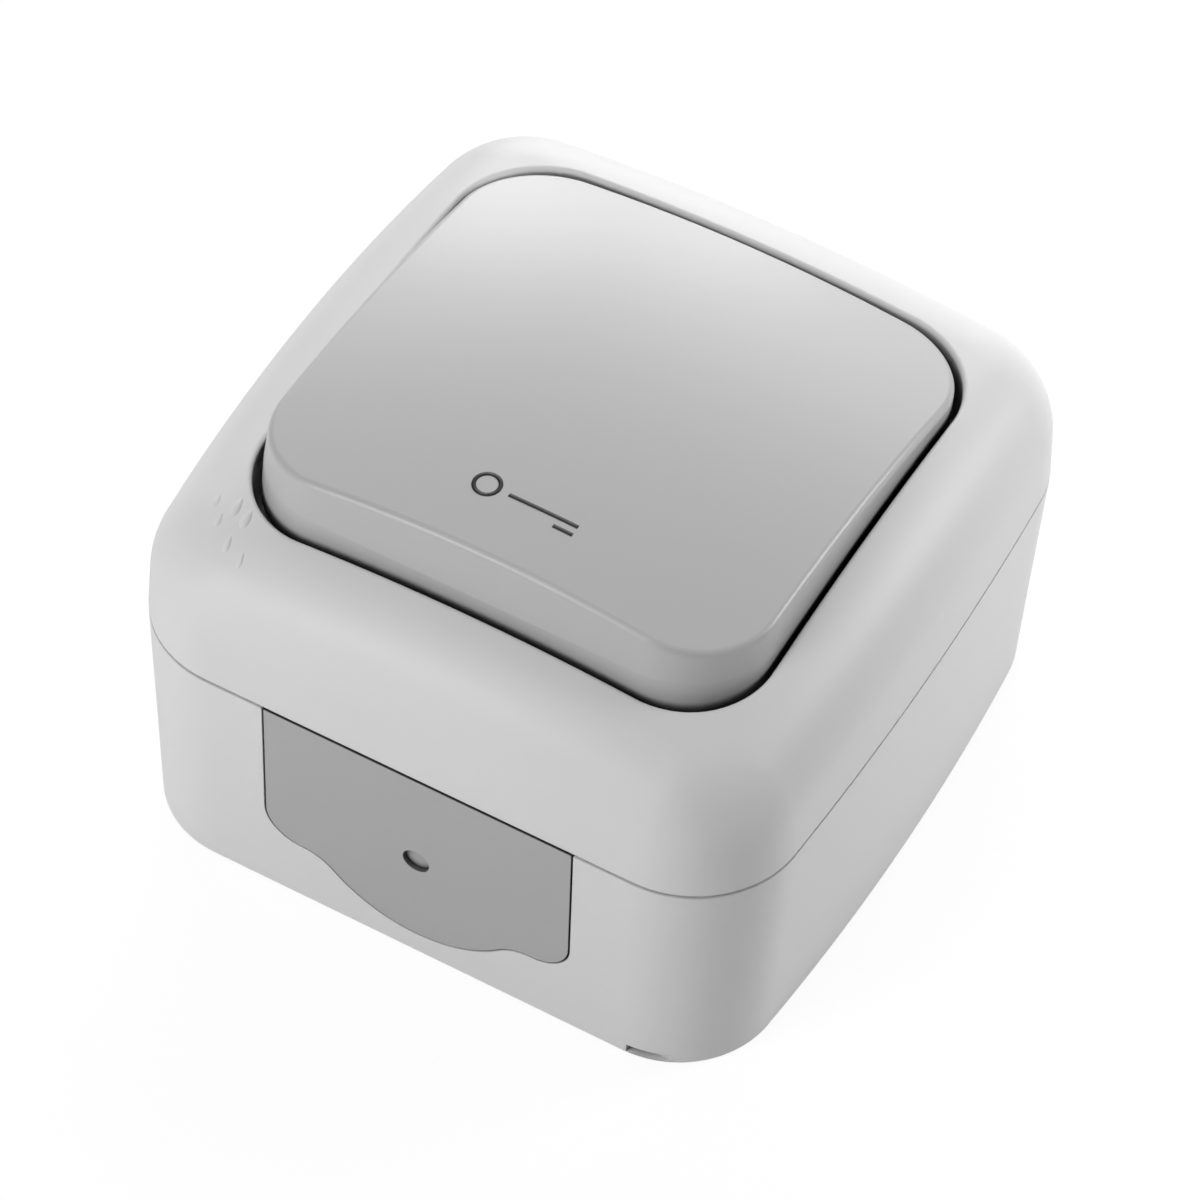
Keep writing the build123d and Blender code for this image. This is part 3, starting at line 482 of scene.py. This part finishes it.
def grow(name, tree, values, mesh=None):
    """Run a geometry tree once and return a plain mesh object with its result."""
    holder = bpy.data.objects.new(name + "_seed", mesh or bpy.data.meshes.new(name + "_seed"))
    bpy.context.scene.collection.objects.link(holder)
    modifier = holder.modifiers.new("tree", "NODES")
    modifier.node_group = tree
    for item in tree.interface.items_tree:
        if item.item_type == "SOCKET" and item.in_out == "INPUT" and item.name in values:
            modifier[item.identifier] = values[item.name]
    bpy.context.view_layer.update()
    shown = holder.evaluated_get(bpy.context.evaluated_depsgraph_get())
    result = bpy.data.meshes.new_from_object(shown)
    result.name = name
    bpy.data.objects.remove(holder)
    piece = bpy.data.objects.new(name, result)
    bpy.context.scene.collection.objects.link(piece)
    return piece


# %% [markdown]
# The rocker rests tilted back by half of its swing, so the record of the hinge gives both the
# pivot and the tilt of the sign.

# %% Print the key sign
joints = {joint["name"]: joint for joint in frame["record"]["behaviour"]["joints"]}
hinge = joints["rocker_press"]
rest_tilt = math.radians(hinge["range_deg"][1] / 2)
key_sign = grow(
    "key_sign",
    key_tree,
    {
        "Ring Middle": Vector((-3.36, -17.0, 0.0)) * MM,
        "Ring Radius": 1.18 * MM,
        "Stroke Start": Vector((-1.14, -17.1, 0.0)) * MM,
        "Stroke End": Vector((5.75, -17.1, 0.0)) * MM,
        "Bit Start": Vector((3.8, -18.1, 0.0)) * MM,
        "Bit End": Vector((5.75, -18.1, 0.0)) * MM,
        "Line Width": 0.40 * MM,
        "Ink Thickness": 0.04 * MM,
        "Crown Radius": 150.0 * MM,
        "Crown Height": 7.1 * MM,
        "Tilt": Vector((-rest_tilt, 0.0, 0.0)),
        "Pivot": Vector(hinge["pos_m"]),
        "Ink": ink,
    },
)
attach(key_sign, "rocker_body")
key_size = [round(v / MM, 2) for v in key_sign.dimensions]
print("key sign", key_size, "mm,", len(key_sign.data.polygons), "faces")

# %% [markdown]
# ## The splash sign
# A few raised drops in the lower left corner of the frame say that the switch bears splashing
# water. Each drop is the cap of a tapered ellipsoid that is sunk into the wall, so its flanks
# rise gently. The tree hangs the drops level above the frame and then lets every vertex fall:
# a raycast finds where it lands, and the vertex keeps its own height along the normal there.
# So the drops bend with the soft edge of the frame.

# %% Tree of the drops
drop_tree, drop_in, drop_out = new_group(
    "splash_drops",
    "GeometryNodeTree",
    [
        ("Geometry", GEOMETRY, None),
        ("Frame", OBJECT, None),
        ("Drop Length", FLOAT, 0.002),
        ("Drop Width", FLOAT, 0.0007),
        ("Drop Height", FLOAT, 0.0002),
        ("Drop Sink", FLOAT, 0.0),
        ("Taper", FLOAT, 0.4),
        ("Slant", FLOAT, 0.0),
        ("Seed Level", FLOAT, 0.05),
        ("Finish", MATERIAL, None),
    ],
    [("Geometry", GEOMETRY)],
)
ball = put(drop_tree, "GeometryNodeMeshUVSphere", Segments=28, Rings=16, Radius=0.5)
spot = put(drop_tree, "GeometryNodeInputPosition").outputs[0]
spot = put(drop_tree, "ShaderNodeSeparateXYZ", Vector=spot)
narrowing = math_node(drop_tree, "MULTIPLY", spot.outputs["Y"], drop_in["Taper"])
waist = math_node(drop_tree, "SUBTRACT", 1.0, narrowing)
wide = math_node(drop_tree, "MULTIPLY", spot.outputs["X"], waist)
high = math_node(drop_tree, "MULTIPLY", spot.outputs["Z"], drop_in["Drop Height"])
shape = put(
    drop_tree,
    "ShaderNodeCombineXYZ",
    X=math_node(drop_tree, "MULTIPLY", wide, drop_in["Drop Width"]),
    Y=math_node(drop_tree, "MULTIPLY", spot.outputs["Y"], drop_in["Drop Length"]),
    Z=math_node(drop_tree, "SUBTRACT", high, drop_in["Drop Sink"]),
)
drop = put(
    drop_tree,
    "GeometryNodeSetPosition",
    Geometry=ball.outputs["Mesh"],
    Position=shape.outputs[0],
)
smooth = put(drop_tree, "GeometryNodeSetShadeSmooth", Geometry=drop.outputs[0])

# %% Hang the drops above the frame
points = put(drop_tree, "GeometryNodeMeshToPoints", Mesh=drop_in["Geometry"])
slant = put(drop_tree, "ShaderNodeCombineXYZ", Z=drop_in["Slant"])
turned = put(drop_tree, "FunctionNodeEulerToRotation", Euler=slant.outputs[0])
size = put(drop_tree, "GeometryNodeInputNamedAttribute", {"data_type": "FLOAT"}, Name="drop_size")
hung = put(
    drop_tree,
    "GeometryNodeInstanceOnPoints",
    Points=points.outputs[0],
    Instance=smooth.outputs[0],
    Rotation=turned.outputs[0],
    Scale=size.outputs[0],
)
real = put(drop_tree, "GeometryNodeRealizeInstances", Geometry=hung.outputs[0])

# %% Let them fall onto the frame
target = put(
    drop_tree,
    "GeometryNodeObjectInfo",
    {"transform_space": "RELATIVE"},
    Object=drop_in["Frame"],
)
landing = put(
    drop_tree,
    "GeometryNodeRaycast",
    **{
        "Target Geometry": target.outputs["Geometry"],
        "Ray Direction": (0.0, 0.0, -1.0),
        "Ray Length": 0.1,
    },
)
spot = put(drop_tree, "GeometryNodeInputPosition").outputs[0]
spot = put(drop_tree, "ShaderNodeSeparateXYZ", Vector=spot)
rise = math_node(drop_tree, "SUBTRACT", spot.outputs["Z"], drop_in["Seed Level"])
raised = put(
    drop_tree,
    "ShaderNodeVectorMath",
    {"operation": "SCALE"},
    i0=landing.outputs["Hit Normal"],
    Scale=rise,
)
rest = put(
    drop_tree,
    "ShaderNodeVectorMath",
    {"operation": "ADD"},
    i0=landing.outputs["Hit Position"],
    i1=raised.outputs[0],
)
landed = put(
    drop_tree, "GeometryNodeSetPosition", Geometry=real.outputs[0], Position=rest.outputs[0]
)
skinned = put(
    drop_tree, "GeometryNodeSetMaterial", Geometry=landed.outputs[0], Material=drop_in["Finish"]
)
drop_tree.links.new(skinned.outputs[0], drop_out["Geometry"])
print("tree", drop_tree.name, "with", len(drop_tree.nodes), "nodes")

# %% [markdown]
# Each drop is given by its place across and up the frame in millimetres and by its relative
# size. The seeds of the drops hang level with the highest point of the switch.

# %% Raise the drops
DROPS = (
    (-23.7, -24.6, 1.0),
    (-22.2, -25.4, 0.95),
    (-25.8, -24.5, 0.7),
    (-24.5, -26.3, 0.7),
    (-22.5, -28.1, 0.7),
    (-20.7, -28.9, 0.65),
)
above = cad_high.z
seeds = bpy.data.meshes.new("drop_seeds")
seeds.from_pydata([(x * MM, y * MM, above) for x, y, _ in DROPS], [], [])
sizes = seeds.attributes.new("drop_size", "FLOAT", "POINT")
sizes.data.foreach_set("value", [scale for _, _, scale in DROPS])
splash_drops = grow(
    "splash_drops",
    drop_tree,
    {
        "Frame": frame["nodes"]["front_frame"],
        "Drop Length": 2.4 * MM,
        "Drop Width": 0.95 * MM,
        "Drop Height": 0.62 * MM,
        "Drop Sink": 0.14 * MM,
        "Taper": 0.7,
        "Slant": math.radians(5.0),
        "Seed Level": above,
        "Finish": materials["housing_plastic"],
    },
    seeds,
)
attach(splash_drops, "housing")
print("drops", len(DROPS), "faces", len(splash_drops.data.polygons))

# %% [markdown]
# ## The return spring
# The spring stands on the floor of the contact block and carries the plunger. When the rocker
# is pressed its foot stays and its head goes down, so it can't simply ride on either body. A
# coil with the measures of the solid takes its place and stands on the housing.

# %% Tree of the coil
coil_tree, coil_in, coil_out = new_group(
    "spring_coil",
    "GeometryNodeTree",
    [
        ("Geometry", GEOMETRY, None),
        ("Foot", VECTOR, (0.0, 0.0, 0.0)),
        ("Height", FLOAT, 0.008),
        ("Coil Radius", FLOAT, 0.0026),
        ("Wire Radius", FLOAT, 0.0003),
        ("Turns", FLOAT, 4.0),
        ("Finish", MATERIAL, None),
    ],
    [("Geometry", GEOMETRY)],
)
thick = math_node(coil_tree, "MULTIPLY", coil_in["Wire Radius"], 2.0)
wound = put(
    coil_tree,
    "GeometryNodeCurveSpiral",
    Resolution=48,
    Rotations=coil_in["Turns"],
    Height=math_node(coil_tree, "SUBTRACT", coil_in["Height"], thick),
    Reverse=True,
    **{"Start Radius": coil_in["Coil Radius"], "End Radius": coil_in["Coil Radius"]},
)
wire = put(
    coil_tree, "GeometryNodeCurvePrimitiveCircle", Resolution=16, Radius=coil_in["Wire Radius"]
)
tube = put(
    coil_tree,
    "GeometryNodeCurveToMesh",
    Curve=wound.outputs[0],
    **{"Profile Curve": wire.outputs["Curve"], "Fill Caps": True},
)
lift = put(coil_tree, "ShaderNodeCombineXYZ", Z=coil_in["Wire Radius"])
start = put(
    coil_tree,
    "ShaderNodeVectorMath",
    {"operation": "ADD"},
    i0=coil_in["Foot"],
    i1=lift.outputs[0],
)
stood = put(
    coil_tree, "GeometryNodeTransform", Geometry=tube.outputs[0], Translation=start.outputs[0]
)
real = put(coil_tree, "GeometryNodeRealizeInstances", Geometry=stood.outputs[0])
drawn_wire = put(
    coil_tree, "GeometryNodeSetMaterial", Geometry=real.outputs[0], Material=coil_in["Finish"]
)
coil_tree.links.new(drawn_wire.outputs[0], coil_out["Geometry"])
print("tree", coil_tree.name, "with", len(coil_tree.nodes), "nodes")

# %% Stand the spring between block and plunger
low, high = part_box("return_spring")
foot = Vector(((low[0] + high[0]) / 2, (low[1] + high[1]) / 2, low[2]))
height = high[2] - low[2]
return_coil = grow(
    "return_coil",
    coil_tree,
    {
        "Foot": foot,
        "Height": height,
        "Coil Radius": 2.6 * MM,
        "Wire Radius": 0.3 * MM,
        "Turns": 4.0,
        "Finish": materials["spring_steel"],
    },
)
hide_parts("return_spring")
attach(return_coil, "housing")
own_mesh(return_coil)

# %% [markdown]
# ## Floor
# The switch lies on a white sheet. To the camera the sheet is simply white, with a trace of
# the shadow below the edges; to the object it is a pale matt surface that throws light back.

# %% Floor
FLOOR_RADIUS = 1.6
FLOOR_LEVEL = -0.1 * MM
FLOOR_CORNERS = 96
turns = [2 * math.pi * i / FLOOR_CORNERS for i in range(FLOOR_CORNERS)]
rim = [(FLOOR_RADIUS * math.cos(a), FLOOR_RADIUS * math.sin(a), FLOOR_LEVEL) for a in turns]
floor_mesh = bpy.data.meshes.new("studio_floor")
floor_mesh.from_pydata(rim, [], [list(range(FLOOR_CORNERS))])
floor = bpy.data.objects.new("studio_floor", floor_mesh)
bpy.context.scene.collection.objects.link(floor)
print("floor", round(floor.dimensions.x, 2), "m across")

# %% White sheet
FLOOR_SHADOW = 0.15
FLOOR_WHITE = 1.07
sheet = bpy.data.materials.new("studio_sheet")
sheet.use_nodes = True
tree = sheet.node_tree
tree.nodes.remove(tree.nodes["Principled BSDF"])
rays = put(tree, "ShaderNodeLightPath").outputs
seen = math_node(tree, "MAXIMUM", rays["Is Camera Ray"], rays["Is Glossy Ray"])
seen = math_node(tree, "MAXIMUM", seen, rays["Is Transmission Ray"])
matt = put(tree, "ShaderNodeBsdfDiffuse", Color=(0.8, 0.8, 0.8, 1.0))
white = put(tree, "ShaderNodeEmission", Color=(1.0, 1.0, 1.0, 1.0), Strength=FLOOR_WHITE)
blend = put(
    tree,
    "ShaderNodeMixShader",
    i0=math_node(tree, "MULTIPLY", seen, 1.0 - FLOOR_SHADOW),
    i1=matt.outputs[0],
    i2=white.outputs[0],
)
tree.links.new(blend.outputs[0], tree.nodes["Material Output"].inputs["Surface"])
floor_mesh.materials.append(sheet)
print("sheet", sheet.name, "with", len(tree.nodes), "nodes")

# %% [markdown]
# ## Light
# The photo was taken in a light tent: a faint glow from straight above, strong strips from
# behind and weaker ones from the front left. The world paints these soft sources: each is a
# lobe around a direction, given by its azimuth from +X, its height above the floor, how sharply
# it falls off and how strong it is.

# %% Light tent


def direction(azimuth, height):
    """The way towards a lamp, from its azimuth and height in degrees."""
    turn, rise = math.radians(azimuth), math.radians(height)
    level = math.cos(rise)
    return Vector((level * math.cos(turn), level * math.sin(turn), math.sin(rise)))


LIGHTS = (
    ("overhead_0", 0.0, 90.0, 8.0, 0.68),
    ("strip_high_100", 100.0, 26.0, 30.0, 2.28),
    ("strip_high_130", 130.0, 26.0, 30.0, 1.51),
    ("strip_back_120", 120.0, 16.0, 60.0, 1.24),
    ("strip_high_250", 250.0, 26.0, 30.0, 0.88),
    ("strip_low_250", 250.0, 8.0, 30.0, 0.81),
)
world = bpy.data.worlds.new("light_tent")
bpy.context.scene.world = world
world.use_nodes = True
tree = world.node_tree
tree.nodes.clear()
heading = put(tree, "ShaderNodeTexCoord").outputs["Generated"]
total = None
for name, azimuth, height, sharpness, strength in LIGHTS:
    facing = put(
        tree,
        "ShaderNodeVectorMath",
        {"operation": "DOT_PRODUCT", "label": name},
        i0=heading,
        i1=direction(azimuth, height),
    )
    off_middle = math_node(tree, "SUBTRACT", facing.outputs["Value"], 1.0)
    falling = math_node(tree, "MULTIPLY", off_middle, sharpness)
    lobe = math_node(tree, "MULTIPLY", math_node(tree, "EXPONENT", falling), strength)
    total = lobe if total is None else math_node(tree, "ADD", total, lobe)

# %% White behind the switch
rays = put(tree, "ShaderNodeLightPath").outputs
tent = put(tree, "ShaderNodeBackground", Color=(1.0, 1.0, 1.0, 1.0), Strength=total)
paper = put(tree, "ShaderNodeBackground", Color=(1.0, 1.0, 1.0, 1.0), Strength=1.0)
shown = put(
    tree,
    "ShaderNodeMixShader",
    i0=rays["Is Camera Ray"],
    i1=tent.outputs[0],
    i2=paper.outputs[0],
)
put(tree, "ShaderNodeOutputWorld", Surface=shown.outputs[0])
bpy.context.scene.view_settings.view_transform = "Standard"
print("light tent with", len(LIGHTS), "soft sources")

# %% [markdown]
# Soft light from far away falls evenly along a flat wall. In the photo every wall gets brighter
# towards the back and the left, so some of the lamps stood close by. These are square area
# lights that look at the middle of the switch, each with its azimuth, height, distance, edge
# length and power.

# %% Softboxes
SOFTBOXES = (
    ("softbox_back_left", 135.0, 20.0, 0.28, 0.16, 0.100),
    ("softbox_back", 95.0, 20.0, 0.28, 0.16, 0.082),
    ("softbox_left", 235.0, 12.0, 0.22, 0.12, 0.027),
    ("softbox_edge_right", 38.0, 24.0, 0.25, 0.10, 0.267),
    ("softbox_edge_low", 250.0, 30.0, 0.30, 0.10, 0.230),
    ("softbox_back_far", 115.0, 12.0, 0.30, 0.14, 0.199),
    ("softbox_high_front", 255.0, 58.0, 0.30, 0.10, 0.110),
)
AIM = Vector((0.0, 0.0, 0.025))
for name, azimuth, height, distance, edge, power in SOFTBOXES:
    away = direction(azimuth, height)
    lamp_data = bpy.data.lights.new(name, "AREA")
    lamp_data.shape = "SQUARE"
    lamp_data.size = edge
    lamp_data.energy = power
    lamp = bpy.data.objects.new(name, lamp_data)
    lamp.location = AIM + away * distance
    lamp.rotation_euler = away.to_track_quat("Z", "Y").to_euler()
    lamp.visible_camera = False
    bpy.context.scene.collection.objects.link(lamp)
print("softboxes", len(SOFTBOXES))
